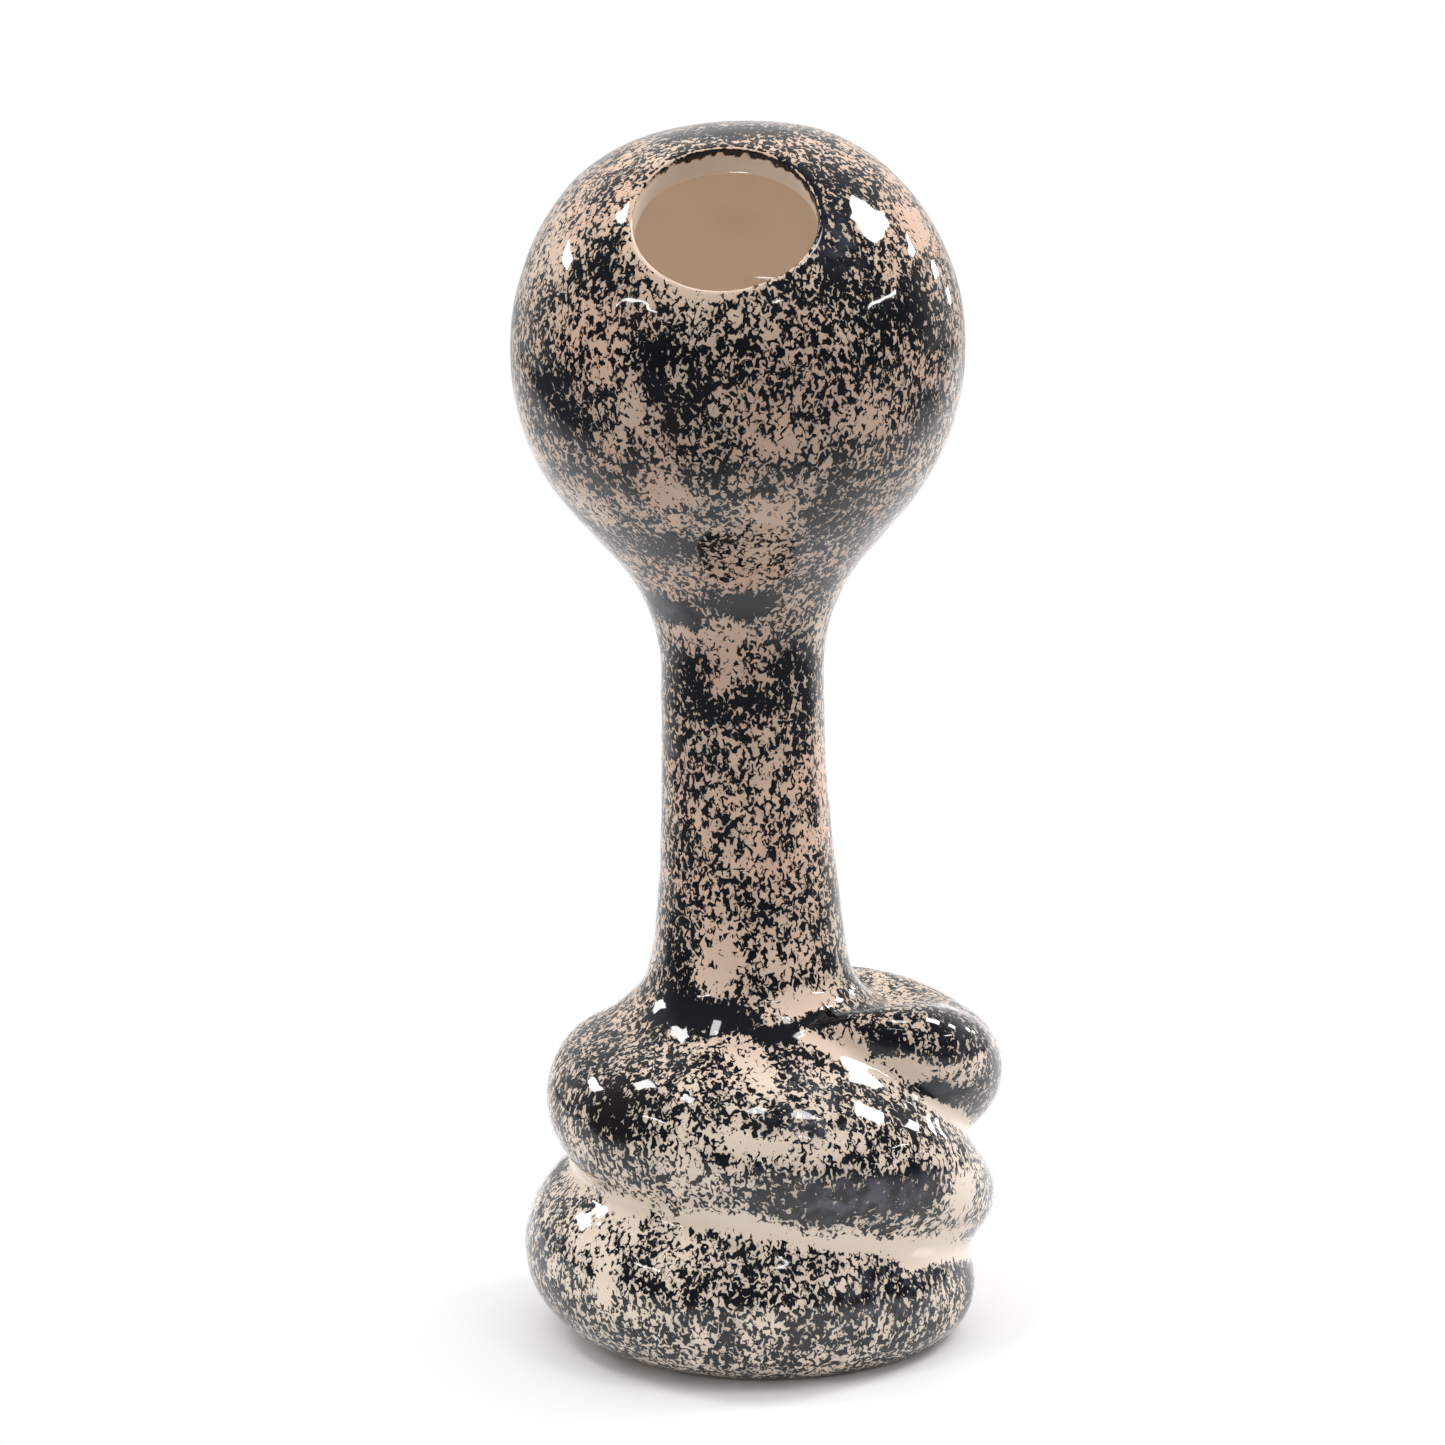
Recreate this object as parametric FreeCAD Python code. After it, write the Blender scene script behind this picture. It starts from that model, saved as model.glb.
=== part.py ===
import FreeCAD, Part
import math
import os

from BOPTools import SplitAPI

os.makedirs("parts", exist_ok=True)

# A ceramic bud vase: a hollow globe head with a tilted round mouth, a slender neck,
# and a body wound from one fat rope of clay. All sizes in mm, +Z up, the foot rests
# on z = 0, the neck stands on the Z axis and the mouth looks towards -Y and up.

# ---- overall sizes ----
height = 219.5
head_radius = 39.8
neck_radius = 14.6
coil_radius = 42.0
shoulder_height = 65.0
wall = 4.5

# ---- head and neck ----
crown_rise = 39.0
crown_flat = 0.80
crown_side = 0.30
bowl_handle = 32.6
waist_handle = 25.5
waist_height = 0.557 * height
neck_handle = 31.0
neck_foot_radius = 18.6
neck_foot_height = 62.0
equator = height - crown_rise
neck_joint = shoulder_height + 15.0
bowl_joint = waist_height + 11.0

# ---- mouth ----
mouth_radius = 15.7
mouth_tilt = 43.0
mouth_turn = 2.5
mouth_centre_out = 27.0
mouth_centre_down = 15.5
lip_width = 3.8
lip_round = 1.5

# ---- body ----
foot_thickness = 4.5
foot_tuck = 6.0
foot_tuck_height = 9.0
core_lean = 3.6
core_depth = 6.7
shoulder_slope = 0.93
shoulder_radius = 18.5
crease_soft = 1.3
shoulder_soft = 2.5
cavity_radius = 33.3
cavity_floor_radius = 28.0
cavity_shift = 3.4
cavity_belly = 20.0
fan_height = 34.0

# The rope: turn in degrees about Z (0 = +X, 180 = -X, 270 = front), then the
# distance of its middle from the axis, its height and its own radius. The radius
# falls below nothing past both ends, so that the rope grows out of the clay smoothly.
rope = [
    (-75, 23.0, 61.5, -5.0),
    (-50, 24.0, 60.5, 2.0),
    (-25, 31.0, 54.5, 9.0),
    (0, 33.0, 47.3, 12.5),
    (45, 29.6, 47.2, 13.0),
    (90, 26.2, 45.2, 13.3),
    (140, 24.2, 43.8, 13.2),
    (180, 24.4, 44.6, 13.2),
    (235, 24.4, 43.4, 14.2),
    (270, 24.8, 42.4, 14.0),
    (320, 29.6, 34.5, 13.4),
    (360, 33.3, 24.4, 11.0),
    (450, 27.0, 19.0, 14.5),
    (540, 25.4, 16.6, 16.4),
    (630, 24.7, 15.5, 15.8),
    (720, 31.3, 7.6, 8.6),
    (765, 31.0, 5.5, 6.0),
    (800, 30.0, 3.0, 1.0),
    (830, 29.0, 1.0, -5.0),
]
rope_start = -50
rope_end = 800
upper_joint = 310
lower_joint = 650

wide = coil_radius / 42.0
tall = shoulder_height / 65.0


def rope_at(turn):
    """Distance from the axis, height and radius of the rope at a turn."""
    turn = min(max(turn, rope[0][0]), rope[-1][0])
    i = 0
    while i < len(rope) - 2 and turn > rope[i + 1][0]:
        i += 1
    span = rope[i + 1][0] - rope[i][0]
    w = (turn - rope[i][0]) / span
    found = []
    for k in (1, 2, 3):
        inside = rope_slope(i, k) * span
        outside = rope_slope(i + 1, k) * span
        start = (1 + 2 * w) * (1 - w) ** 2 * rope[i][k] + w * (1 - w) ** 2 * inside
        end = w * w * (3 - 2 * w) * rope[i + 1][k] + w * w * (w - 1) * outside
        found.append(start + end)
    return found[0] * wide, found[1] * tall, found[2] * (wide + tall) / 2


def rope_slope(i, k):
    """Slope of column k of the rope table at station i, from its two neighbours."""
    last = len(rope) - 1
    before = max(i - 1, 0)
    after = min(i + 1, last)
    if before == i or after == i:
        return (rope[after][k] - rope[before][k]) / (rope[after][0] - rope[before][0])
    left = rope[i][0] - rope[before][0]
    right = rope[after][0] - rope[i][0]
    left_slope = (rope[i][k] - rope[before][k]) / left
    right_slope = (rope[after][k] - rope[i][k]) / right
    return (left_slope * right + right_slope * left) / (left + right)


def bezier_point(poles, u):
    a = (1 - u) ** 3
    b = 3 * u * (1 - u) ** 2
    c = 3 * u * u * (1 - u)
    d = u**3
    weights = (a, b, c, d)
    return (
        sum(w * p[0] for w, p in zip(weights, poles)),
        sum(w * p[1] for w, p in zip(weights, poles)),
    )


def at_height(poles, z):
    """Radius of a falling Bezier curve where it passes a height."""
    low, high = 0.0, 1.0
    for _ in range(40):
        mid = (low + high) / 2
        if bezier_point(poles, mid)[1] > z:
            low = mid
        else:
            high = mid
    return bezier_point(poles, (low + high) / 2)[0]


def smooth_min(values, soft):
    least = min(values)
    return least - soft * math.log(sum(math.exp((least - v) / soft) for v in values))


def smooth_max(values, soft):
    return -smooth_min([-v for v in values], soft)


def profile(inset):
    """Crown, bowl and neck curves of the head and neck, as (radius, height) poles."""
    head = head_radius - inset
    neck = neck_radius - inset
    foot = neck_foot_radius - inset
    top = height - inset
    rise = top - equator
    crown = [(0, top), (crown_flat * head, top), (head, equator + crown_side * rise), (head, equator)]
    bowl = [
        (head, equator),
        (head, equator - bowl_handle),
        (neck, waist_height + waist_handle),
        (neck, waist_height),
    ]
    low = [
        (neck, waist_height),
        (neck, waist_height - neck_handle),
        (neck + 0.45 * (foot - neck), neck_foot_height + 18.0),
        (foot, neck_foot_height),
    ]
    return crown, bowl, low


neck_curve = profile(0)[2]


def outside(azimuth, r, z):
    """Negative inside the clay of the wound body, about the distance to it outside."""
    parts = []
    turn = azimuth
    while turn >= rope[0][0]:
        turn -= 360
    turn += 360
    while turn <= rope[-1][0]:
        out, middle, radius = rope_at(turn)
        parts.append(math.hypot(r - out, z - middle) - radius)
        turn += 360
    side = coil_radius - core_depth + core_lean * math.cos(math.radians(azimuth))
    side -= foot_tuck * max(0.0, 1 - z / foot_tuck_height) ** 2
    slope = (z - shoulder_height + shoulder_slope * (r - shoulder_radius)) / math.hypot(1, shoulder_slope)
    parts.append(smooth_max([r - side, slope], shoulder_soft))
    parts.append(r - at_height(neck_curve, z))
    return smooth_min(parts, crease_soft)


def first_hit(azimuth, origin_z, angle):
    """Distance along a ray leaving the axis at which the clay is met from outside."""
    c = math.cos(angle)
    s = math.sin(angle)
    far = 2.0 * coil_radius
    step = far / 84
    while far > step and outside(azimuth, far * c, origin_z + far * s) > 0:
        far -= step
    low, high = far, far + step
    for _ in range(30):
        mid = (low + high) / 2
        if outside(azimuth, mid * c, origin_z + mid * s) > 0:
            high = mid
        else:
            low = mid
    return (low + high) / 2


def polar(azimuth, r, z):
    a = math.radians(azimuth)
    return FreeCAD.Vector(r * math.cos(a), r * math.sin(a), z)


def evened(grid, i, j):
    """Point that uniform cubic splines through the grid would pass instead of grid[i][j]."""
    last = len(grid[0]) - 1
    total = FreeCAD.Vector(0, 0, 0)
    for di, wi in ((-1, 1), (0, 4), (1, 1)):
        column = grid[(i + di) % len(grid)]
        if j < 2 or j > last - 2:
            total += column[j] * (6 * wi)
            continue
        for dj, wj in ((-1, 1), (0, 4), (1, 1)):
            total += column[j + dj] * (wi * wj)
    return total * (1 / 36)


def closed_surface(grid):
    """Solid inside a smooth surface, closed round Z, whose two ends are flat."""
    columns = len(grid)
    last = len(grid[0]) - 1
    poles = []
    for i in range(columns):
        poles.append([grid[i][j] * 2 - evened(grid, i, j) for j in range(last + 1)])
    surface = Part.BSplineSurface()
    round_knots = [float(k) for k in range(columns + 1)]
    up_knots = [float(k) for k in range(last - 1)]
    up_counts = [4] + [1] * (last - 3) + [4]
    surface.buildFromPolesMultsKnots(
        poles, [1] * (columns + 1), up_counts, round_knots, up_knots, True, False, 3, 3
    )
    side = surface.toShape()
    faces = [side]
    for edge in side.Edges:
        if edge.BoundBox.ZLength < 0.001:
            faces.append(Part.Face(Part.Wire([edge])))
    shell = Part.Compound(faces)
    shell.sewShape()
    solid = Part.Solid(shell.Shells[0])
    if solid.Volume < 0:
        solid.reverse()
    return solid


columns = 72
rows = 36

# ---- outside of the wound body: a grid from the foot up to the neck joint ----
grid = []
for i in range(columns):
    azimuth = 360.0 * i / columns
    foot_r = first_hit(azimuth, 0.0, 0.0)
    neck_r = first_hit(azimuth, neck_joint, 0.0)
    low = math.atan2(-fan_height, foot_r)
    high = math.atan2(neck_joint - fan_height, neck_r)
    column = [polar(azimuth, foot_r, 0.0)]
    for j in range(1, rows):
        angle = low + (high - low) * j / rows
        out = first_hit(azimuth, fan_height, angle)
        column.append(polar(azimuth, out * math.cos(angle), fan_height + out * math.sin(angle)))
    column.append(polar(azimuth, neck_r, neck_joint))
    grid.append(column)
body = closed_surface(grid)

# ---- water cavity of the wound body ----
bore = at_height(profile(wall)[2], neck_joint)
cavity_low = [
    (cavity_radius, cavity_belly),
    (cavity_radius, cavity_belly - 6.0),
    (cavity_floor_radius + 2.5, foot_thickness + 5.0),
    (cavity_floor_radius, foot_thickness),
]
cavity_high = [
    (bore, neck_joint),
    (bore, neck_joint - 0.4 * (neck_joint - cavity_belly)),
    (cavity_radius, cavity_belly + 0.4 * (neck_joint - cavity_belly)),
    (cavity_radius, cavity_belly),
]


def cavity_wire(r, z):
    share = min(max((z - cavity_belly) / (neck_joint - cavity_belly), 0.0), 1.0)
    shift = cavity_shift * (1 - share * share * (3 - 2 * share))
    return Part.Wire([Part.makeCircle(r, FreeCAD.Vector(shift, 0, z))])


cavity_rings = []
for u in (0.0, 0.12, 0.25, 0.4, 0.55, 0.7, 0.85, 1.0):
    cavity_rings.append(cavity_wire(*bezier_point(cavity_high, u)))
for u in (0.35, 0.7, 1.0):
    cavity_rings.append(cavity_wire(*bezier_point(cavity_low, u)))
cavity = Part.makeLoft(cavity_rings, True, False)

# ---- foot slab ----
reach_all = 4 * coil_radius
slab_box = Part.makeBox(reach_all, reach_all, foot_thickness, FreeCAD.Vector(-reach_all / 2, -reach_all / 2, 0))
foot_slab = body.common(slab_box)
coils = body.cut(slab_box).cut(cavity)


# ---- cuts between the turns of the rope, along the bottom of the creases ----
def crease_line(turn):
    """Inner and outer ends of the luted joint below the rope at this turn."""
    over_out, over_z, over_radius = rope_at(turn)
    under_out, under_z, under_radius = rope_at(turn + 360)
    z = (over_z - over_radius + under_z + under_radius) / 2
    r = min(over_out, under_out) + 0.7 * over_radius
    tilt = math.radians(34.0) * max(0.0, (25.0 - turn) / (25.0 - rope_start)) ** 1.5
    inner = 8.0
    outer = 1.5 * coil_radius
    return (
        polar(turn, inner, z - (r - inner) * math.tan(tilt)),
        polar(turn, outer, z + (outer - r) * math.tan(tilt)),
    )


def ribbon(start, end, count):
    """Spiral face that follows the crease from one turn to another."""
    inner = []
    outer = []
    for i in range(count + 1):
        near, far = crease_line(start + (end - start) * i / count)
        inner.append(near)
        outer.append(far)
    near_curve = Part.BSplineCurve()
    near_curve.interpolate(inner)
    far_curve = Part.BSplineCurve()
    far_curve.interpolate(outer)
    return Part.makeRuledSurface(near_curve.toShape(), far_curve.toShape())


def end_face(low, high):
    """Flat face between two lines of one azimuth, where two lengths of rope meet."""
    corners = [low[0], low[1], high[1], high[0], low[0]]
    return Part.Face(Part.makePolygon(corners))


crease_end = rope_end - 360
crease_joint = lower_joint - 360


def below(turn):
    """A line under the foot, straight below the crease at this turn."""
    return (polar(turn, 8.0, -foot_thickness), polar(turn, 1.5 * coil_radius, -foot_thickness))


cuts = [
    ribbon(rope_start, crease_joint, 68),
    ribbon(crease_joint, upper_joint, 8),
    ribbon(upper_joint, crease_end, 26),
    end_face(crease_line(upper_joint), crease_line(rope_start)),
    end_face(below(crease_joint), crease_line(crease_joint)),
    end_face(below(crease_end), crease_line(crease_end)),
]
lengths = SplitAPI.slice(coils, cuts, "Split").Solids
lengths.sort(key=lambda s: s.Volume)
tail_coil, lower_coil, upper_coil = lengths[-3:]
print("rope lengths", [round(s.Volume, 1) for s in lengths])


# ---- neck and head: one turned shell, cut at its joints ----
def half_outline(inset):
    edges = []
    for poles in profile(inset):
        curve = Part.BezierCurve()
        curve.setPoles([FreeCAD.Vector(r, 0, z) for r, z in poles])
        edges.append(curve.toShape())
    return edges


def turned(inset):
    """Solid of revolution inside one outline."""
    edges = half_outline(inset)
    foot = neck_foot_radius - inset
    low = FreeCAD.Vector(foot, 0, neck_foot_height)
    axis_low = FreeCAD.Vector(0, 0, neck_foot_height)
    axis_high = FreeCAD.Vector(0, 0, height - inset)
    edges.append(Part.makeLine(low, axis_low))
    edges.append(Part.makeLine(axis_low, axis_high))
    face = Part.Face(Part.Wire(Part.__sortEdges__(edges)))
    return face.revolve(FreeCAD.Vector(0, 0, 0), FreeCAD.Vector(0, 0, 1), 360)


def between(shape, low, high):
    box = Part.makeBox(reach_all, reach_all, high - low, FreeCAD.Vector(-reach_all / 2, -reach_all / 2, low))
    return shape.common(box)


shell = turned(0).cut(turned(wall))
neck = between(shell, neck_joint, bowl_joint)
head_bowl = between(shell, bowl_joint, equator)
crown = between(shell, equator, height + 1)

# ---- mouth ----
tilt = math.radians(mouth_tilt)
mouth_axis = FreeCAD.Vector(0, -math.sin(tilt), math.cos(tilt))
mouth_centre = FreeCAD.Vector(0, -mouth_centre_out, height - mouth_centre_down)
turn_back = FreeCAD.Rotation(FreeCAD.Vector(0, 0, 1), -mouth_turn)
mouth_axis = turn_back.multVec(mouth_axis)
mouth_centre = turn_back.multVec(mouth_centre)


def mouth_plug(radius):
    start = mouth_centre - mouth_axis * 22.0
    return Part.makeCylinder(radius, 60.0, start, mouth_axis)


head_dome = crown.cut(mouth_plug(mouth_radius + lip_width))
mouth_lip = crown.common(mouth_plug(mouth_radius + lip_width)).cut(mouth_plug(mouth_radius))
rims = []
for edge in mouth_lip.Edges:
    gap = [abs((v - mouth_centre).cross(mouth_axis).Length - mouth_radius) for v in edge.discretize(12)]
    ring = edge.Length > 4 * mouth_radius
    if ring and max(gap) < 0.05:
        rims.append(edge)
mouth_lip = mouth_lip.makeFillet(lip_round, rims)

nodes = {
    "foot_slab": foot_slab,
    "tail_coil": tail_coil,
    "lower_coil": lower_coil,
    "upper_coil": upper_coil,
    "neck": neck,
    "head_bowl": head_bowl,
    "head_dome": head_dome,
    "mouth_lip": mouth_lip,
}
for name, shape in nodes.items():
    solids = shape.Solids
    print(name, len(solids), round(shape.Volume), shape.isValid())
    if len(solids) == 1:
        shape = solids[0]
    shape.exportStep("parts/" + name + ".step")
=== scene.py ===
import math

import bpy
import numpy as np
from mathutils import Matrix, Vector

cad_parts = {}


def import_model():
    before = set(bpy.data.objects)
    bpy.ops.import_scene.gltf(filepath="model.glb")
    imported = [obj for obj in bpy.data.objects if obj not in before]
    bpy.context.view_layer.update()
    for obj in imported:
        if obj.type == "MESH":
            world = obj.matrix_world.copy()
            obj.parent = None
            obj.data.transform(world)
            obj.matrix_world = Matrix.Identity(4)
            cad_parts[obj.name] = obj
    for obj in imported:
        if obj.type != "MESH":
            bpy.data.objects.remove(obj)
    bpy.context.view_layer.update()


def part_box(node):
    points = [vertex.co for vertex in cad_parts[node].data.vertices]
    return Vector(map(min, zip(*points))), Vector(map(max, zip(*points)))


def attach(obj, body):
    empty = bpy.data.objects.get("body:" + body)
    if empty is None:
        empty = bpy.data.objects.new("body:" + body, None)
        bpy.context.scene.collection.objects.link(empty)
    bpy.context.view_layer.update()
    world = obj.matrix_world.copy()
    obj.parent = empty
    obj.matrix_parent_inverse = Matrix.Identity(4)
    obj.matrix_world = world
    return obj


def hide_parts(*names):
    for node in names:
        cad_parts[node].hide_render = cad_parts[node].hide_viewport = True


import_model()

MM = 0.001

# ---- sizes in mm, from the CAD frame where it has them ----


def box_mm(node):
    """Lowest and highest corner of a CAD node's box."""
    low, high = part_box(node)
    return [c / MM for c in low], [c / MM for c in high]


height = box_mm("head_dome")[1][2]
equator = box_mm("head_dome")[0][2]
head_radius = box_mm("head_dome")[1][0]
bowl_joint = box_mm("neck")[1][2]
neck_joint = box_mm("neck")[0][2]
foot_thickness = box_mm("foot_slab")[1][2]

neck_radius = 14.6
coil_radius = 42.0
shoulder_height = 65.0
wall = 4.5

# Outline of the head and neck: how far its curves run on before they bend.
crown_flat = 0.80
crown_side = 0.30
bowl_handle = 32.6
waist_handle = 25.5
waist_height = bowl_joint - 11.0
neck_handle = 31.0
neck_foot_radius = 18.6
neck_foot_height = 62.0

# The mouth: its tilt and its turn toward -X in degrees, and its place from the axis and the top.
mouth_radius = 15.5
mouth_squash = 0.91
mouth_tilt = 40.0
mouth_turn = 4.0
mouth_centre_out = 27.2
mouth_centre_down = 15.9
lip_width = 3.8

# Unevenness left by the hand: thicker clay over the mouth, a flatter top, a dent in the body.
over_mouth = 1.9
over_mouth_reach = 17.0
top_flat = 0.8
top_flat_reach = 18.0
crown_fade = 8.0
dent_azimuth = -94.0
dent_height = 53.0
dent_depth = 1.5

# The body: its foot, the core that the rope is wound on, and the water cavity.
foot_tuck = 6.0
foot_tuck_height = 9.0
foot_round = 1.2
core_lean = 3.6
core_depth = 6.7
shoulder_slope = 0.93
shoulder_radius = 18.5
crease_soft = 1.3
shoulder_soft = 2.5
lip_soft = 0.42
cavity_radius = 33.3
cavity_floor_radius = 28.0
cavity_shift = 3.4
cavity_belly = 20.0
fan_height = 34.0

# Creases: how wide they stay free of slip, and how far past the rope's tip they fade in.
crease_width = 2.6
tip_fade = 25.0

# Lean of the joint under the rope in degrees at its tip, and the turn where it lies level.
joint_lean = 34.0
joint_level = 25.0

# Points of the meshes: round the vase, and from edge to edge of each skin.
around = 360
across = 72
neck_rows = 80
bowl_rows = 90
dome_rows = 90
lip_rows = 80

# The rope: turn in degrees about Z (0 = +X, 180 = -X, 270 = front), then the
# distance of its middle from the axis, its height and its own radius.
rope = np.array([
    (-75, 23.0, 61.5, -5.0),
    (-50, 24.0, 60.5, 2.0),
    (-25, 31.0, 54.5, 9.0),
    (0, 33.0, 47.3, 12.5),
    (45, 29.6, 47.2, 13.0),
    (90, 26.2, 45.2, 13.3),
    (140, 24.2, 43.8, 13.2),
    (180, 24.4, 44.6, 13.2),
    (235, 24.4, 43.4, 14.2),
    (270, 24.8, 42.4, 14.0),
    (320, 29.6, 34.5, 13.4),
    (360, 33.3, 24.4, 11.0),
    (450, 27.0, 19.0, 14.5),
    (540, 25.4, 16.6, 16.4),
    (630, 24.7, 15.5, 15.8),
    (720, 31.3, 7.6, 8.6),
    (765, 31.0, 5.5, 6.0),
    (800, 30.0, 3.0, 1.0),
    (830, 29.0, 1.0, -5.0),
])
rope_start = -50
rope_end = 800
upper_joint = 310
lower_joint = 650


def bezier(poles, u):
    """Points of a cubic Bezier curve, one row per value of u."""
    p = np.array(poles, float)
    u = np.asarray(u, float)[:, None]
    a = (1 - u) ** 3 * p[0] + 3 * u * (1 - u) ** 2 * p[1]
    return a + 3 * u * u * (1 - u) * p[2] + u**3 * p[3]


def rope_slopes():
    """Slope of each column of the rope table at its stations."""
    x = rope[:, 0]
    step = np.diff(x)[:, None]
    rate = np.diff(rope[:, 1:], axis=0) / step
    inner = (rate[:-1] * step[1:] + rate[1:] * step[:-1]) / (step[1:] + step[:-1])
    return np.vstack([rate[:1], inner, rate[-1:]])


slopes = rope_slopes()


def rope_at(turn):
    """Distance from the axis, height and radius of the rope at each turn."""
    x = rope[:, 0]
    turn = np.clip(turn, x[0], x[-1])
    i = np.clip(np.searchsorted(x, turn) - 1, 0, len(x) - 2)
    span = x[i + 1] - x[i]
    w = (turn - x[i]) / span
    found = []
    for k in range(3):
        start = (1 + 2 * w) * (1 - w) ** 2 * rope[i, k + 1] + w * (1 - w) ** 2 * span * slopes[i, k]
        end = w * w * (3 - 2 * w) * rope[i + 1, k + 1] + w * w * (w - 1) * span * slopes[i + 1, k]
        found.append(start + end)
    return found


def smooth_min(values, soft):
    """The least of some fields, blended over a few times soft where two are near each other."""
    values = np.stack(np.broadcast_arrays(*values))
    least = values.min(0)
    return least - soft * np.log(np.exp((least - values) / soft).sum(0))


def smooth_max(values, soft):
    return -smooth_min([-v for v in values], soft)


def outlines(inset):
    """Crown, bowl and neck curves as (radius, height) poles."""
    head = head_radius - inset
    neck = neck_radius - inset
    foot = neck_foot_radius - inset
    top = height - inset
    rise = top - equator
    crown = [(0, top), (crown_flat * head, top), (head, equator + crown_side * rise), (head, equator)]
    bowl = [
        (head, equator),
        (head, equator - bowl_handle),
        (neck, waist_height + waist_handle),
        (neck, waist_height),
    ]
    low = [
        (neck, waist_height),
        (neck, waist_height - neck_handle),
        (neck + 0.45 * (foot - neck), neck_foot_height + 18.0),
        (foot, neck_foot_height),
    ]
    return crown, bowl, low


fine = np.linspace(0, 1, 400)


def stem_table(inset):
    """Heights and radii of the bowl and neck, rising, for interpolation."""
    _, bowl, low = outlines(inset)
    line = np.vstack([bezier(bowl, fine), bezier(low, fine)[1:]])[::-1]
    return line[:, 1], line[:, 0]


def head_table(inset):
    """Angles above the equator and distances from the head's centre, rising."""
    crown, bowl, _ = outlines(inset)
    line = np.vstack([bezier(crown, fine), bezier(bowl, fine)[1:]])[::-1]
    line[:, 1] -= equator
    angle = np.arctan2(line[:, 1], line[:, 0])
    order = np.argsort(angle)
    return angle[order], np.hypot(line[:, 0], line[:, 1])[order]


stem_out = stem_table(0.0)
stem_in = stem_table(wall)
head_out = head_table(0.0)
head_in = head_table(wall)


def wobble(x, y, z):
    """The hand's unevenness: a slow swell of the skin, in mm."""
    slow = 0.22 * np.sin(x / 9.1 + 0.7 * np.sin(z / 13.0)) * np.sin(z / 11.3 + y / 15.0 + 0.6)
    cross = 0.18 * np.sin((x + z) / 12.7 + 1.9) * np.sin((y - 0.4 * z) / 8.3 + 0.3)
    small = 0.07 * np.sin(x / 3.1 + z / 4.7) * np.sin(y / 3.7 - z / 3.9 + 1.1)
    return (slow + cross + small) * np.clip(z / 4.0, 0, 1)


def throwing(x, y, z):
    """Finger rings left inside the head and neck, in mm."""
    level = z + 0.05 * x - 0.08 * y
    rings = 0.16 * np.sin(level / 1.45) * np.sin(level / 6.3 + 0.5)
    return rings + 0.5 * np.exp(-(((level - equator - 3) / 1.6) ** 2))


turn_back = np.array(Matrix.Rotation(math.radians(-mouth_turn), 3, "Z"))
tilt = math.radians(mouth_tilt)
mouth_axis = turn_back @ np.array([0, -math.sin(tilt), math.cos(tilt)])
mouth_centre = turn_back @ np.array([0, -mouth_centre_out, height - mouth_centre_down])
mouth_right = turn_back @ np.array([1.0, 0, 0])
mouth_up = np.cross(mouth_axis, mouth_right)
mouth_top = mouth_centre + mouth_radius * mouth_up


# ---- signed fields: negative inside ----


def dent(azimuth, r, z):
    """Shallow valley pressed into the front of the upper coil."""
    aside = np.radians((azimuth - dent_azimuth + 180) % 360 - 180) * r
    reach = (aside / 5.0) ** 2 + ((z - dent_height) / 9.0) ** 2
    return dent_depth * np.exp(-reach) * np.clip((r - 20) / 4, 0, 1)


def rope_gaps(x, y, z):
    """Turn of the first pass of the rope at each point, and the distances outside its passes."""
    r = np.hypot(x, y)
    tip = rope[0, 0]
    turn = (np.degrees(np.arctan2(y, x)) - tip) % 360 + tip
    gaps = []
    for k in range(3):
        out, middle, radius = rope_at(turn + 360 * k)
        gaps.append(np.hypot(r - out, z - middle) - radius)
    return turn, gaps


def body_field(x, y, z):
    """The wound body with the foot of the neck."""
    r = np.hypot(x, y)
    azimuth = np.degrees(np.arctan2(y, x))
    _, parts = rope_gaps(x, y, z)
    side = coil_radius - core_depth + core_lean * np.cos(np.radians(azimuth))
    side = side - foot_tuck * np.clip(1 - z / foot_tuck_height, 0, None) ** 2
    slope = (z - shoulder_height + shoulder_slope * (r - shoulder_radius)) / math.hypot(1, shoulder_slope)
    parts.append(smooth_max([r - side, slope], shoulder_soft))
    parts.append(r - np.interp(z, *stem_out))
    return smooth_min(parts, crease_soft) - wobble(x, y, z) + dent(azimuth, r, z)


def stem_field(x, y, z):
    """Outside of the neck and the bowl."""
    return np.hypot(x, y) - np.interp(z, *stem_out) - wobble(x, y, z)


def head_skin(table, x, y, z):
    """Distance outside a round skin of the head, from its table."""
    rise = z - equator
    r = np.hypot(x, y)
    return np.hypot(r, rise) - np.interp(np.arctan2(rise, r), *table)


def crown_field(x, y, z):
    """Outside of the head above its equator, pressed a little flatter at the very top."""
    flat = top_flat * np.exp(-(x * x + y * y) / top_flat_reach**2)
    return head_skin(head_out, x, y, z) - wobble(x, y, z) + flat * np.clip((z - equator) / crown_fade, 0, 1)


def hollow_field(x, y, z):
    """Hollow of the head above its equator; the clay is thicker over the mouth."""
    over = [c - m for c, m in zip((x, y, z), mouth_top)]
    extra = over_mouth * np.exp(-sum(c * c for c in over) / over_mouth_reach**2)
    extra = extra * np.clip((z - equator) / crown_fade, 0, 1)
    return head_skin(head_in, x, y, z) + throwing(x, y, z) + extra


def stem_rings(x, y, z):
    """The finger rings of the neck and bowl, fading out toward the body."""
    return throwing(x, y, z) * np.clip((z - neck_joint) / 8, 0, 1)


def stem_hollow(x, y, z):
    """Bore of the neck and hollow of the bowl."""
    return np.hypot(x, y) - np.interp(z, *stem_in) + stem_rings(x, y, z)


def from_mouth_axis(x, y, z):
    """Distance from the mouth's axis, counted as if the oval mouth were round."""
    d = [c - m for c, m in zip((x, y, z), mouth_centre)]
    sideways = sum(c * a for c, a in zip(d, mouth_right))
    upward = sum(c * a for c, a in zip(d, mouth_up))
    return np.hypot(sideways, upward / mouth_squash)


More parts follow.
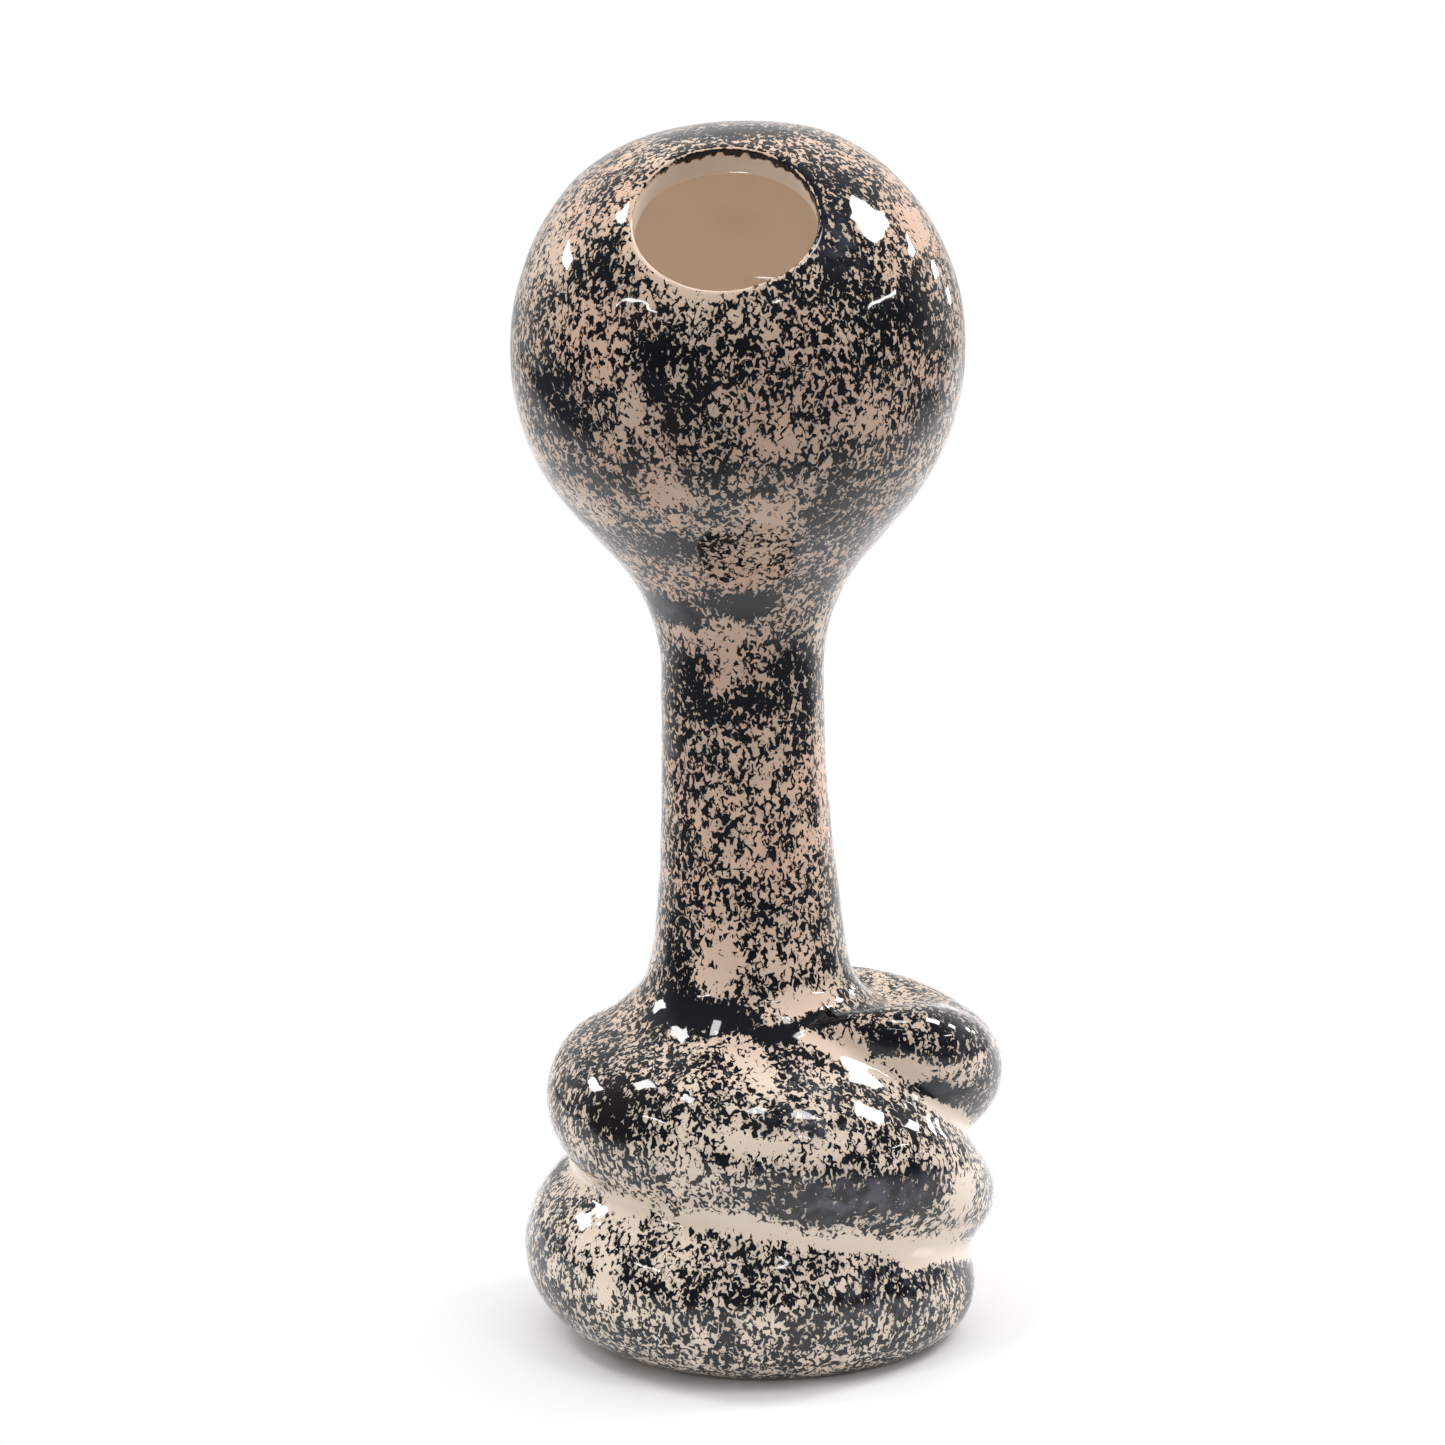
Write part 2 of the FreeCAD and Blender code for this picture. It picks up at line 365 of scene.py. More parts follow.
def mouth_wave(x, y, z):
    """The mouth was cut and smoothed by hand, so it isn't quite round."""
    sideways = (x - mouth_centre[0]) / mouth_radius
    return 0.35 * sideways * np.abs(sideways) + 0.12 * np.sin(4 * sideways + 1)


def lip_field(x, y, z):
    """Clay of the head round the mouth, with both edges of the cut rounded."""
    gap = mouth_radius + mouth_wave(x, y, z) - from_mouth_axis(x, y, z)
    return smooth_max([crown_field(x, y, z), -hollow_field(x, y, z), gap], lip_soft)


def gradient(field, p):
    """Unit gradient of a field at each row of p."""
    h = 0.02
    found = np.empty_like(p)
    for k in range(3):
        step = np.zeros(3)
        step[k] = h
        found[:, k] = field(*(p + step).T) - field(*(p - step).T)
    return found / np.maximum(np.linalg.norm(found, axis=1, keepdims=True), 1e-12)


def march(field, start, direction, far, step):
    """First point met with clay when coming in along rays from far, as distance from start."""
    shape = start.shape[:-1]
    start = start.reshape(-1, 3)
    direction = direction.reshape(-1, 3)
    t = np.full(len(start), float(far))
    going = np.ones(len(start), bool)
    while going.any() and t[going].max() > 0:
        p = start[going] + direction[going] * t[going, None]
        outside = field(*p.T) > 0
        moved = np.where(going)[0]
        t[moved[outside]] -= step
        going[moved[~outside]] = False
        going &= t > 0
    low = t
    high = t + step
    for _ in range(26):
        mid = (low + high) / 2
        outside = field(*(start + direction * mid[:, None]).T) > 0
        high = np.where(outside, mid, high)
        low = np.where(outside, low, mid)
    return ((low + high) / 2).reshape(shape)


def polar(azimuth, r, z):
    """Points at an azimuth in degrees, a distance from the vase's axis and a height."""
    a = np.radians(azimuth)
    return np.stack(np.broadcast_arrays(r * np.cos(a), r * np.sin(a), z), -1)


# ---- the slip: where the sponge and the brush put black on the clay ----
no_slip = -1.0  # the slip's value on joints, inside the vase and on its foot

# Each mark: azimuth in degrees (-90 = front), height in mm, half width and half height in mm,
# tilt in degrees (down to the right is negative), and how much black it adds or wipes away.
slip_marks = [
    # head, dark
    (-60, 201, 4, 8, -20, 0.3),
    (-90, 218, 13, 4, 0, 0.2),
    (-46, 188, 10, 5, 0, 0.25),
    (-114, 183, 3, 5, 0, 0.25),
    (-105, 177, 5, 8, 0, 0.2),
    (-142, 174, 7, 6, 0, 0.25),
    (-131, 195, 4, 2, 0, 0.2),
    (-60, 155, 6, 4, 0, 0.2),
    (-118, 148, 11, 3, 0, 0.3),
    (-92, 162, 9, 4, 0, 0.1),
    (-50, 210, 8, 4, -25, 0.2),
    (-33, 168, 5, 4, 0, 0.15),
    # head, open
    (-25, 201, 4, 4, 0, -0.3),
    (-152, 200, 5, 6, 0, -0.2),
    (-129, 184, 6, 5, 0, -0.2),
    (-117, 176, 2, 6, -10, -0.3),
    (-55, 171, 6, 4, 0, -0.3),
    (-111, 158, 4, 8, 0, -0.2),
    (-141, 154, 4, 4, 0, -0.2),
    (-82, 155, 6, 6, 0, -0.2),
    (-107, 194, 5, 2, -25, -0.2),
    # neck, dark
    (-90, 137, 6, 2.5, 0, 0.6),
    (-135, 135, 6, 2, -10, 0.8),
    (-132, 123, 6, 5, 0, 0.2),
    (-97, 118, 5, 3, 0, 0.25),
    (-40, 120, 6, 7, 0, 0.25),
    (-140, 73, 5, 10, 0, 0.25),
    # neck, open
    (-130, 131, 4, 3, 0, -0.2),
    (-104, 124, 2.5, 6, 0, -0.3),
    (-80, 145, 3, 5, 0, -0.2),
    (-17, 104, 4, 6, 0, -0.2),
    (-35, 92, 4, 4, 0, -0.2),
    (-109, 71, 4, 8, 0, -0.3),
    (-68, 73, 5, 3, 0, -0.2),
    (-63, 65.5, 7, 1.7, 0, -0.6),
    # wound body, dark
    (-115, 64, 9, 3, 0, 1.0),
    (-65, 62, 8, 1.5, 10, 0.8),
    (-40, 59, 5, 2.5, -20, 0.35),
    (-26, 48, 5.5, 2, -35, 0.75),
    (-20, 60, 6, 6, -30, 0.2),
    (-12, 47, 4, 6, 0, 0.25),
    (-129, 50, 9, 5, 0, 0.3),
    (-68, 35, 21, 4, 0, 0.4),
    (-120, 22, 4, 4, 0, 0.15),
    (-55, 16, 10, 6, 0, 0.2),
    (-18, 12, 4, 5, 0, 0.2),
    # wound body, open
    (-93, 59, 3, 3, 0, -0.3),
    (-87, 55, 2, 5, 0, -0.2),
    (-93, 46.5, 5, 1.5, -15, -0.5),
    (-84, 45, 4, 2, -10, -0.3),
    (-35, 53.5, 12, 2, -25, -0.7),
    (-50, 57, 3, 2.5, -40, -0.6),
    (-34, 21.5, 9, 2, 10, -0.6),
    (-30, 31, 3, 4, 0, -0.6),
    (-130, 19, 2, 4.5, 0, -0.4),
    (-140, 26, 4, 3, 0, -0.4),
    (-107, 44, 4, 3, 0, -0.2),
]
# Where the slip went on thin and shows grey: azimuth, height, half width, half height, how much.
thin_slip = [
    (-68, 35, 22, 5, 0.9),
    (-55, 15, 16, 8, 0.6),
    (-73, 51, 7, 8, 0.8),
    (-18, 50, 8, 12, 0.5),
    (-135, 134.8, 6, 2.4, 0.9),
    (-170, 25, 14, 18, 0.5),
    (-60, 200, 4, 6, 0.5),
]


def skin_point(azimuth, z):
    """Where a level ray from the side meets the vase."""
    field = body_field if z < neck_joint else (stem_field if z < equator else crown_field)
    direction = polar(azimuth, 1.0, 0.0)
    start = polar(azimuth, 0.0, z)
    return start + direction * march(field, start[None], direction[None], 60, 0.5)[0]


# The place on the skin of each mark.
middles = {(azimuth, z): skin_point(azimuth, z) for azimuth, z, *_ in slip_marks + thin_slip}


def offsets(p, azimuth, z):
    """How far points lie sideways of and above a place on the skin, in mm along the skin."""
    d = p - middles[azimuth, z]
    east = polar(azimuth + 90.0, 1.0, 0.0)
    u = d @ east
    v = np.sqrt(np.maximum((d * d).sum(1) - u * u, 0)) * np.sign(d[:, 2])
    return u, v


def crease_nearness(p):
    """1 in the creases between two passes of the rope, 0 away from them."""
    x, y, z = p.T
    turn, gaps = rope_gaps(x, y, z)
    # The rope's tip is too thin to press a crease.
    gaps[0] = gaps[0] + 8.0 * np.clip(1 - (turn - rope[0, 0]) / tip_fade, 0, 1)
    gaps = np.sort(np.stack(gaps), 0)
    return np.exp(-(((gaps[1] - gaps[0]) / crease_width) ** 2)) * (z < shoulder_height)


def slip_density(p):
    """How much black slip lies at each point, before its grain: 0 none, 1 solid."""
    x, y, z = p.T
    swell = np.sin(x / 9.5 + 1.7 * np.sin(z / 12.0)) * np.sin(y / 8.5 - z / 15.0 + 0.8)
    small = np.sin(x / 4.3 - z / 5.1 + 2.0) * np.sin(y / 4.9 + z / 3.9 + np.sin(x / 6.0))
    density = 0.55 + 0.07 * swell + 0.05 * small
    for azimuth, level, wide, tall, tilt_deg, add in slip_marks:
        u, v = offsets(p, azimuth, level)
        c = math.cos(math.radians(tilt_deg))
        s = math.sin(math.radians(tilt_deg))
        reach = ((u * c + v * s) / wide) ** 2 + ((v * c - u * s) / tall) ** 2
        density = density + add * np.exp(-(0.75 * reach) ** 1.6)
    return density - 0.8 * crease_nearness(p) * (1.0 + 0.8 * small)


def slip_thinness(p):
    """How far the slip was thinned to grey."""
    amount = np.zeros(len(p))
    for azimuth, level, wide, tall, add in thin_slip:
        u, v = offsets(p, azimuth, level)
        amount = amount + add * np.exp(-(((u / wide) ** 2 + (v / tall) ** 2) ** 1.5))
    return amount


# ---- meshes ----


def grid_faces(rows, columns, closed):
    """Quads of a grid of rows by columns of points, closed along its columns or not."""
    last = columns if closed else columns - 1
    i, j = np.meshgrid(np.arange(rows - 1), np.arange(last), indexing="ij")
    i, j = i.ravel(), j.ravel()
    k = (j + 1) % columns
    return np.stack([i * columns + j, i * columns + k, (i + 1) * columns + k, (i + 1) * columns + j], 1)


def paint(mesh, name, values):
    """One number at each point of a mesh, for its material to read."""
    layer = mesh.attributes.new(name, "FLOAT", "POINT")
    layer.data.foreach_set("value", np.asarray(values, np.float32))


def add_piece(name, points, faces, smooth, normals, slip):
    """One piece of the vase as a mesh, with the slope of its true skin at every smooth corner."""
    mesh = bpy.data.meshes.new(name)
    mesh.from_pydata((points * MM).tolist(), [], faces)
    mesh.polygons.foreach_set("use_smooth", smooth)
    sides = np.empty(len(mesh.polygons), np.int32)
    mesh.polygons.foreach_get("loop_total", sides)
    corners = np.empty(len(mesh.loops), np.int32)
    mesh.loops.foreach_get("vertex_index", corners)
    corner_normals = np.where(np.repeat(smooth, sides)[:, None], normals[corners], 0.0)
    mesh.normals_split_custom_set(corner_normals.tolist())
    paint(mesh, "slip", slip)
    paint(mesh, "thin", slip_thinness(points))
    piece = bpy.data.objects.new(name, mesh)
    bpy.context.scene.collection.objects.link(piece)
    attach(piece, "root")
    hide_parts(name)
    return piece


def two_skins(sections, outer_field, inner_field):
    """Normals, slip and smooth sides of loops whose first half is the outer skin and whose
    second half is the inner one. The last side of each half is a flat joint."""
    flat = sections.reshape(-1, 3)
    half = sections.shape[1] // 2
    is_outer = np.tile(np.arange(2 * half) < half, len(sections))
    normals = np.empty_like(flat)
    normals[is_outer] = gradient(outer_field, flat[is_outer])
    normals[~is_outer] = -gradient(inner_field, flat[~is_outer])
    slip = np.where(is_outer, slip_density(flat), no_slip).reshape(sections.shape[:2])
    skins = np.ones(2 * half, bool)
    skins[[half - 1, 2 * half - 1]] = False
    return normals.reshape(sections.shape), skins, slip


def swept(name, sections, normals, skins, slip, closed):
    """A piece from a loop of points at each step round the vase. skins marks the points whose
    next point is on the same smooth skin; the other sides of the loop are flat joints."""
    steps, count = sections.shape[:2]
    ring = grid_faces(count + 1, steps, closed)
    row = ring // steps % count
    ring = row * steps + ring % steps
    smooth = skins[ring[:, 0] // steps]
    points = sections.transpose(1, 0, 2).reshape(-1, 3)
    normals = normals.transpose(1, 0, 2).reshape(-1, 3)
    slip = slip.T.ravel()
    faces = [ring]
    if not closed:
        half = count // 2
        i = np.arange(half - 1)
        cap = np.stack([i, i + 1, count - 2 - i, count - 1 - i], 1) * steps
        faces += [cap, cap[:, ::-1] + steps - 1]
        smooth = np.concatenate([smooth, np.zeros(2 * len(cap), bool)])
    faces = np.vstack(faces).tolist()
    return add_piece(name, points, faces, smooth, normals, slip)


def cavity_table():
    """Heights and radii of the water cavity in the body, rising, for interpolation."""
    share = np.linspace(0, 1, 200)
    bore = np.interp(neck_joint, *stem_in)
    span = neck_joint - cavity_belly
    high = [
        (bore, neck_joint),
        (bore, neck_joint - 0.4 * span),
        (cavity_radius, cavity_belly + 0.4 * span),
        (cavity_radius, cavity_belly),
    ]
    low = [
        (cavity_radius, cavity_belly),
        (cavity_radius, cavity_belly - 6.0),
        (cavity_floor_radius + 2.5, foot_thickness + 5.0),
        (cavity_floor_radius, foot_thickness),
    ]
    line = np.vstack([bezier(high, share), bezier(low, share)[1:]])[::-1]
    return line[:, 1], line[:, 0]


cavity_line = cavity_table()


def cavity_r(azimuth, z):
    """Distance from the axis to the wall of the water cavity."""
    share = np.clip((z - cavity_belly) / (neck_joint - cavity_belly), 0, 1)
    shift = cavity_shift * (1 - share * share * (3 - 2 * share))
    a = np.radians(azimuth)
    radius = np.interp(z, *cavity_line)
    return shift * np.cos(a) + np.sqrt(radius**2 - (shift * np.sin(a)) ** 2)


def cavity_field(x, y, z):
    """Hollow of the body, below the neck."""
    return np.hypot(x, y) - cavity_r(np.degrees(np.arctan2(y, x)), z)


def crease(turn):
    """Point and slope of the joint below the rope at each turn."""
    over = rope_at(turn)
    under = rope_at(turn + 360)
    z = (over[1] - over[2] + under[1] + under[2]) / 2
    r = np.minimum(over[0], under[0]) + 0.7 * over[2]
    lean = np.clip((joint_level - turn) / (joint_level - rope_start), 0, None) ** 1.5
    return r, z, np.tan(np.radians(joint_lean) * lean)


def edge_between(low, high, holds):
    """Where a test that holds at low stops holding on the way to high, by halving."""
    for _ in range(30):
        middle = (low + high) / 2
        held = holds(middle)
        low = np.where(held, middle, low)
        high = np.where(held, high, middle)
    return (low + high) / 2


def crease_ends(turn):
    """Where the joint below the rope comes out on the skin and in the cavity, as (r, z) pairs."""
    r, z, slope = crease(turn)

    def off(radius):
        return z + (radius - r) * slope

    def in_clay(radius):
        return body_field(*polar(turn, radius, off(radius)).T) < 0

    def in_hollow(radius):
        return radius < cavity_r(turn, off(radius))

    outer = edge_between(np.full_like(turn, 20.0), np.full_like(turn, 60.0), in_clay)
    inner = edge_between(np.full_like(turn, 2.0), outer, in_hollow)
    return (outer, off(outer)), (inner, off(inner))


def level_ends(turn, z):
    """The same for a level cut of the body at height z."""
    start = polar(turn, 0 * turn, z)
    direction = polar(turn, 1 + 0 * turn, 0)
    outer = march(body_field, start, direction, 60, 1.0)
    flat = np.full_like(turn, z)
    return (outer, flat), (cavity_r(turn, flat), flat)


def neck_ends(turn):
    """The same for the level joint under the neck."""
    z = np.full_like(turn, neck_joint)
    r = np.interp(z, *stem_out)
    for _ in range(3):
        r = np.interp(z, *stem_out) + wobble(*polar(turn, r, z).T)
    return (r, z), (np.interp(z, *stem_in), z)


def wound(name, start, end, low_ends, high_ends):
    """A length of the rope between two turns, with the wall of the cavity behind it."""
    turn = np.arange(start, end + 0.5, 360 / around)
    (low_r, low_z), (_, low_in_z) = low_ends(turn)
    (high_r, high_z), (_, high_in_z) = high_ends(turn)
    low_angle = np.arctan2(low_z - fan_height, low_r)
    high_angle = np.arctan2(high_z - fan_height, high_r)
    share = np.linspace(0, 1, across)
    angle = low_angle[:, None] + (high_angle - low_angle)[:, None] * share
    turns = np.broadcast_to(turn[:, None], angle.shape)
    direction = polar(turns, np.cos(angle), np.sin(angle))
    start_points = np.zeros_like(direction)
    start_points[..., 2] = fan_height
    reach = march(body_field, start_points, direction, 75, 1.0)
    outer = start_points + direction * reach[..., None]
    outer[:, 0] = polar(turn, low_r, low_z)
    outer[:, -1] = polar(turn, high_r, high_z)
    inner_z = high_in_z[:, None] + (low_in_z - high_in_z)[:, None] * share
    inner = polar(turns, cavity_r(turns, inner_z), inner_z)
    sections = np.concatenate([outer, inner], 1)
    return swept(name, sections, *two_skins(sections, body_field, cavity_field), False)


def lower_ends(turn):
    """Under the lower coil: the crease while there is rope below it, then the foot slab."""
    on_crease = turn <= rope_end - 360
    found = []
    for a, b in zip(crease_ends(turn), level_ends(turn, foot_thickness)):
        found.append(tuple(np.where(on_crease, c, d) for c, d in zip(a, b)))
    return found


def above(turn):
    """Where the next pass of the rope lies on this one."""
    return crease_ends(turn - 360)


def on_slab(turn):
    """Where the rope lies on the foot slab."""
    return level_ends(turn, foot_thickness)


circle = np.arange(around) * 360.0 / around


def turned(name, low, high, count):
    """A ring of the neck or the bowl between two heights."""
    z = np.linspace(low, high, count)
    azimuth, level = np.meshgrid(circle, z, indexing="ij")
    r = np.interp(level, *stem_out)
    for _ in range(3):
        r = np.interp(level, *stem_out) + wobble(*np.moveaxis(polar(azimuth, r, level), -1, 0))
    outer = polar(azimuth, r, level)
    inner_z = level[:, ::-1]
    inner_r = np.interp(inner_z, *stem_in)
    inner = polar(azimuth, inner_r, inner_z)
    inner = polar(azimuth, inner_r - stem_rings(*np.moveaxis(inner, -1, 0)), inner_z)
    sections = np.concatenate([outer, inner], 1)
    return swept(name, sections, *two_skins(sections, stem_field, stem_hollow), True)


def mouth_point(angle, radius, along):
    """A point at an angle round the mouth's axis, a distance from it and a way along it."""
    a = np.radians(angle)
    return (
        mouth_centre
        + (radius * np.cos(a))[..., None] * mouth_right
        + (radius * np.sin(a))[..., None] * mouth_up
        + along[..., None] * mouth_axis
    )


def on_plug(field, angle, radius):
    """Where lines beside the mouth's axis meet a skin of the head, coming from outside."""
    radius = np.broadcast_to(radius, angle.shape)
    start = mouth_point(angle, radius, np.full_like(angle, -30.0))
    direction = np.broadcast_to(mouth_axis, start.shape)
    return start + direction * march(field, start, direction, 60, 0.5)[..., None]


seam_radius = mouth_radius + lip_width
seam_out = on_plug(crown_field, circle, seam_radius)
seam_in = on_plug(hollow_field, circle, seam_radius)
head_centre = np.array([0, 0, equator])


def crown_rows(field, seam, count):
    """Skin of the head from the seam of the mouth down to the equator."""
    first = seam - head_centre
    first = first / np.linalg.norm(first, axis=1, keepdims=True)
    last = polar(circle - mouth_turn, 1.0, 0.0)
    angle = np.arccos(np.clip((first * last).sum(1), -1, 1))[:, None, None]
    share = np.linspace(0, 1, count)[None, :, None]
    direction = np.sin((1 - share) * angle) * first[:, None] + np.sin(share * angle) * last[:, None]
    direction = direction / np.sin(angle)
    start = np.broadcast_to(head_centre, direction.shape)
    rows = start + direction * march(field, start, direction, head_radius + 6, 1.0)[..., None]
    rows[:, 0] = seam
    return rows


def head_dome():
    """Upper half of the head, cut away round the mouth."""
    outer = crown_rows(crown_field, seam_out, dome_rows)[:, ::-1]
    inner = crown_rows(hollow_field, seam_in, dome_rows)
    sections = np.concatenate([outer, inner], 1)
    return swept("head_dome", sections, *two_skins(sections, crown_field, hollow_field), True)


def lip_slip(rows, normals):
    """Slip on the rim: black to a ragged line just inside the edge, and taken away along it in a pale line
    that is partly wear and partly a painted highlight.
    """
    flat = rows.reshape(-1, 3)
    ring = np.radians(np.repeat(circle, lip_rows))
    favoured = np.clip(0.55 + 0.75 * np.cos(ring - math.radians(55)), 0, 1)
    ragged = 0.35 * np.sin(17 * ring + 2 * np.sin(5 * ring)) + 0.25 * np.sin(41 * ring)
    turned_in = (normals * gradient(crown_field, flat)).sum(1)
    # Partly wear, partly painted highlight: a pale line along the rounded edge of the rim, where the slip
    # is taken off.
    worn_and_highlight = np.exp(-(((turned_in - 0.80) / 0.10) ** 2))
    past_edge = np.maximum(from_mouth_axis(*flat.T) - mouth_radius, 0)
    at_edge = np.exp(-((past_edge / 1.3) ** 2))
    density = slip_density(flat) + at_edge * (0.7 * favoured - 0.3) - 1.2 * worn_and_highlight
    depth = -crown_field(*flat.T)
    slip = np.where(depth < favoured * (1.3 + ragged) + 0.25, density, no_slip)
    return slip.reshape(rows.shape[:2])


def mouth_lip():
    """The rim: from the outer seam round the cut edge to the inner seam."""
    middle = (seam_out + seam_in) / 2
    outward = mouth_point(circle, np.full(around, 1.0), np.zeros(around)) - mouth_centre
    core = middle - outward * (lip_width - 2.0)

    def angle_of(v):
        return np.arctan2(v @ mouth_axis, (v * outward).sum(1))

    first = angle_of(seam_out - core)
    last = angle_of(seam_in - core) % (2 * math.pi)
    angle = first[:, None] + (last - first)[:, None] * np.linspace(0, 1, lip_rows)
    direction = np.cos(angle)[..., None] * outward[:, None] + np.sin(angle)[..., None] * mouth_axis
    start = np.broadcast_to(core[:, None], direction.shape)
    rows = start + direction * march(lip_field, start, direction, 9.0, 0.25)[..., None]
    rows[:, 0] = seam_out
    rows[:, -1] = seam_in
    normals = gradient(lip_field, rows.reshape(-1, 3))
    skins = np.ones(lip_rows, bool)
    skins[-1] = False
    return swept("mouth_lip", rows, normals.reshape(rows.shape), skins, lip_slip(rows, normals), True)


def slab_normals(rows, flat_rows):
    """Upright on the two flat faces, and rolled under at the lower edge of the side."""
    flat = rows.reshape(-1, 3)
    roll = np.clip(1 - flat[:, 2] / foot_round, 0, 1)[:, None]
    side = gradient(body_field, flat) * np.sqrt(1 - roll**2) + np.array([0, 0, -1.0]) * roll
    side = side / np.linalg.norm(side, axis=1, keepdims=True)
    normals = side.reshape(rows.shape)
    normals[:, :flat_rows] = (0, 0, -1)
    normals[:, -flat_rows:] = (0, 0, 1)
    return normals


def foot_slab():
    """Flat slab under the lowest coil, with its lower edge rounded."""
    rolled = foot_round * (1 - np.cos(np.linspace(0, math.pi / 2, 7)))
    levels = np.concatenate([rolled, [2.2, 3.3, foot_thickness]])
    azimuth, level = np.meshgrid(circle, levels, indexing="ij")
    r = march(body_field, polar(azimuth, 0.0, level), polar(azimuth, 1.0, 0.0 * level), 60, 1.0)
    low = np.clip(1 - level / foot_round, 0, 1)
    r = r - foot_round * (1 - np.sqrt(1 - low**2))
    side = polar(azimuth, r, level)
    share = np.array([0.02, 0.3, 0.6, 0.85])
    under = polar(azimuth[:, :1], r[:, :1] * share, 0.0)
    top = polar(azimuth[:, :1], r[:, -1:] * share[::-1], foot_thickness)
    rows = np.concatenate([under, side, top], 1)
    flat_rows = len(share)
    count = rows.shape[1]

    slip = np.full(rows.shape[:2], no_slip)
    slip[:, flat_rows:-flat_rows] = slip_density(side.reshape(-1, 3)).reshape(side.shape[:2])
    skins = np.ones(count, bool)
    skins[[flat_rows + len(levels) - 1, count - 1]] = False
    grid = grid_faces(count, around, True)

    # The middle of each flat face is a fan of triangles.
    face_centres = [[0, 0, 0], [0, 0, foot_thickness]]
    points = np.vstack([rows.transpose(1, 0, 2).reshape(-1, 3), face_centres])
    normals = slab_normals(rows, flat_rows).transpose(1, 0, 2).reshape(-1, 3)
    normals = np.vstack([normals, [[0, 0, -1], [0, 0, 1]]])
    slip = np.concatenate([slip.T.ravel(), [no_slip, no_slip]])
    top_ring = (count - 1) * around
    fans = [(len(points) - 2, (k + 1) % around, k) for k in range(around)]
    fans += [(len(points) - 1, top_ring + k, top_ring + (k + 1) % around) for k in range(around)]
    smooth = np.concatenate([skins[grid[:, 0] // around], np.zeros(len(fans), bool)])
    return add_piece("foot_slab", points, grid.tolist() + fans, smooth, normals, slip)


# ---- materials ----
grain_scale = 1080
grain_stretch = 0.75


def link(tree, a, b):
    tree.links.new(a, b)


def new_material(name):
    """A material with its node tree, its shader and the object's own coordinates."""
    material = bpy.data.materials.new(name)
    material.use_nodes = True
    tree = material.node_tree
    place = tree.nodes.new("ShaderNodeTexCoord").outputs["Object"]
    return material, tree, tree.nodes["Principled BSDF"], place


def math_node(tree, kind, a, b=None, c=None, clamp=False):
    node = tree.nodes.new("ShaderNodeMath")
    node.operation = kind
    node.use_clamp = clamp
    for socket, value in zip(node.inputs, (a, b, c)):
        if value is None:
            continue
        if isinstance(value, (int, float)):
            socket.default_value = value
        else:
            link(tree, value, socket)
    return node.outputs[0]


def parts_of(tree, vector):
    """The X, Y and Z of a vector."""
    split = tree.nodes.new("ShaderNodeSeparateXYZ")
    link(tree, vector, split.inputs[0])
    return split.outputs


def noise_node(tree, vector, scale, detail, roughness, distortion=0.0):
    node = tree.nodes.new("ShaderNodeTexNoise")
    node.inputs["Scale"].default_value = scale
    node.inputs["Detail"].default_value = detail
    node.inputs["Roughness"].default_value = roughness
    node.inputs["Distortion"].default_value = distortion
    link(tree, vector, node.inputs["Vector"])
    return node.outputs["Fac"]


def colour_mix(tree, factor, a, b):
    """Colour a where the factor is 0 and b where it is 1."""
    node = tree.nodes.new("ShaderNodeMix")
    node.data_type = "RGBA"
    link(tree, factor, node.inputs[0])
    for socket, value in ((node.inputs[6], a), (node.inputs[7], b)):
        if isinstance(value, tuple):
            socket.default_value = (*value, 1)
        else:
            link(tree, value, socket)
    return node.outputs[2]


def attribute_node(tree, name):
    """A number painted on the mesh."""
    node = tree.nodes.new("ShaderNodeAttribute")
    node.attribute_name = name
    return node.outputs["Fac"]


def contrast(tree, value, gain, middle=0.5):
    """Sharpen a value about its middle to a mask from 0 to 1."""
    return math_node(tree, "MULTIPLY_ADD", value, gain, 0.5 - gain * middle, clamp=True)


def bump_node(tree, height, strength, distance, normal):
    """Small unevenness of a surface, put on one of its shader's normals."""
    bump = tree.nodes.new("ShaderNodeBump")
    bump.inputs["Strength"].default_value = strength
    bump.inputs["Distance"].default_value = distance
    link(tree, height, bump.inputs["Height"])
    link(tree, bump.outputs["Normal"], normal)


def slip_masks(tree, place, slip):
    """How much the slip covers, and the torn black grains that it leaves."""
    drawn = tree.nodes.new("ShaderNodeMapping")
    drawn.inputs["Scale"].default_value = (1.0, 1.0, grain_stretch)
    link(tree, place, drawn.inputs["Vector"])
    grain = noise_node(tree, drawn.outputs[0], grain_scale, 2.0, 0.55, 0.8)
    blots = noise_node(tree, place, 210, 2.0, 0.5)
    cover = math_node(tree, "MULTIPLY_ADD", blots, 0.75, math_node(tree, "SUBTRACT", slip, 0.375))
    level = math_node(tree, "MULTIPLY_ADD", cover, 0.36, math_node(tree, "SUBTRACT", grain, 0.18))
    return cover, contrast(tree, level, 25.0)


def clay_colour(tree, place, slip, cover):
    """Pink-cream clay: paler on the body, veiled under the slip, bare inside and at the foot. Where there
    is no slip, the bare clay is painted paler than outside as painted light for the inside of the head.
    """
    level = parts_of(tree, place)["Z"]
    blush = contrast(tree, noise_node(tree, place, 55, 2.0, 0.5), 4.0)
    fired = colour_mix(tree, blush, (0.80, 0.62, 0.48), (0.80, 0.54, 0.41))
    upper = contrast(tree, level, 30.0, neck_foot_height * MM)
    open_clay = colour_mix(tree, upper, (0.84, 0.71, 0.59), fired)
    veiled = contrast(tree, cover, 2.2, 0.62)
    outer_clay = colour_mix(tree, veiled, open_clay, (0.50, 0.42, 0.35))
    # Painted light: the bare clay without slip, inside the vase and on the cut wall of the mouth, is
    # painted paler than the clay outside. It stands in for light passed round inside the head.
    outside = contrast(tree, slip, 4.0, -0.8)
    clay = colour_mix(tree, outside, (0.96, 0.83, 0.71), outer_clay)
    footed = contrast(tree, level, 700.0, 0.0016)
    return colour_mix(tree, footed, (0.50, 0.40, 0.30), clay)


